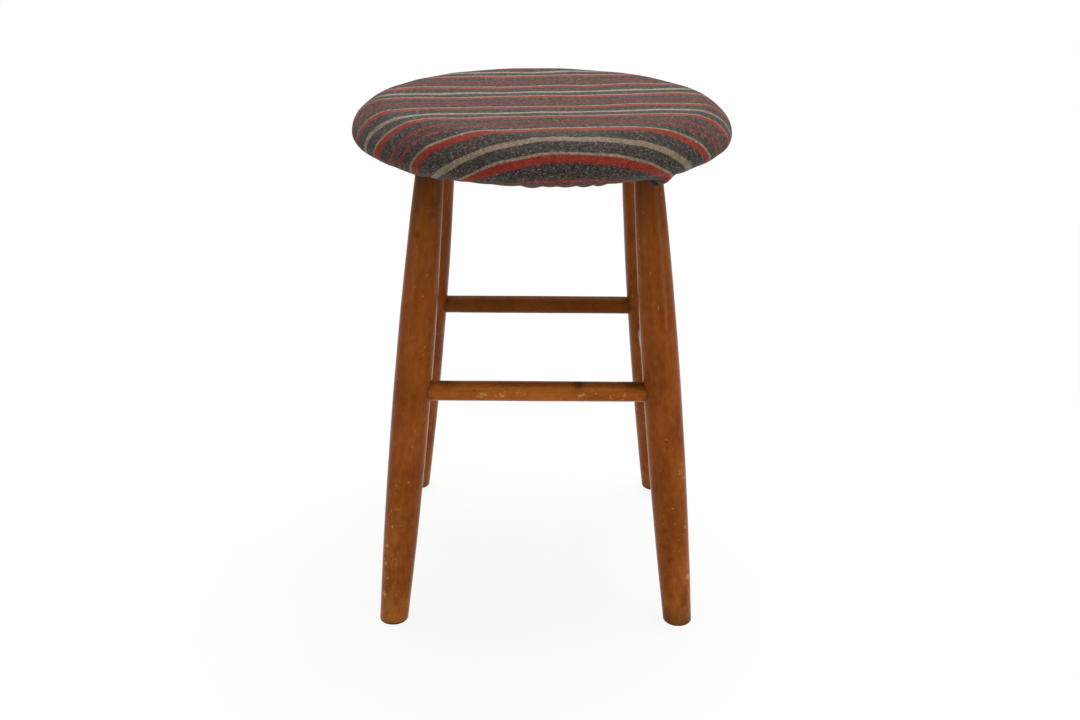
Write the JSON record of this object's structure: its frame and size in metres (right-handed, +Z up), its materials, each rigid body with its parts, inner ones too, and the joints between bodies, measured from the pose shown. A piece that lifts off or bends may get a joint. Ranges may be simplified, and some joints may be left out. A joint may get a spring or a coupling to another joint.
{
  "type": "stool",
  "caption": "Round upholstered stool with a striped wool seat on splayed turned wooden legs joined by round stretcher rods.",
  "frame": {"origin": "on the floor under the middle of the seat", "axes": "+Z up, front towards -Y, so the front and rear rods lie along X and the side rods along Y"},
  "size_m": [0.341, 0.341, 0.4629],
  "materials": {
    "leg_wood": "satin",
    "rod_wood": "satin",
    "board_wood": "matte",
    "wedge_wood": "matte",
    "stuffing": "matte",
    "cloth": "matte",
    "tack_steel": "satin"
  },
  "bodies": {
    "root": {"front_left_leg": "leg_wood", "front_right_leg": "leg_wood", "rear_left_leg": "leg_wood", "rear_right_leg": "leg_wood", "front_left_wedge": "wedge_wood", "front_right_wedge": "wedge_wood", "rear_left_wedge": "wedge_wood", "rear_right_wedge": "wedge_wood", "front_stretcher": "rod_wood", "rear_stretcher": "rod_wood", "left_stretcher": "rod_wood", "right_stretcher": "rod_wood", "seat_board": "board_wood", "seat_pad": "stuffing", "seat_cover": "cloth", "tack_01": "tack_steel", "tack_02": "tack_steel", "tack_03": "tack_steel", "tack_04": "tack_steel", "tack_05": "tack_steel", "tack_06": "tack_steel", "tack_07": "tack_steel", "tack_08": "tack_steel", "tack_09": "tack_steel", "tack_10": "tack_steel", "tack_11": "tack_steel", "tack_12": "tack_steel", "tack_13": "tack_steel", "tack_14": "tack_steel", "tack_15": "tack_steel", "tack_16": "tack_steel", "tack_17": "tack_steel", "tack_18": "tack_steel", "tack_19": "tack_steel", "tack_20": "tack_steel"}
  },
  "joints": []
}
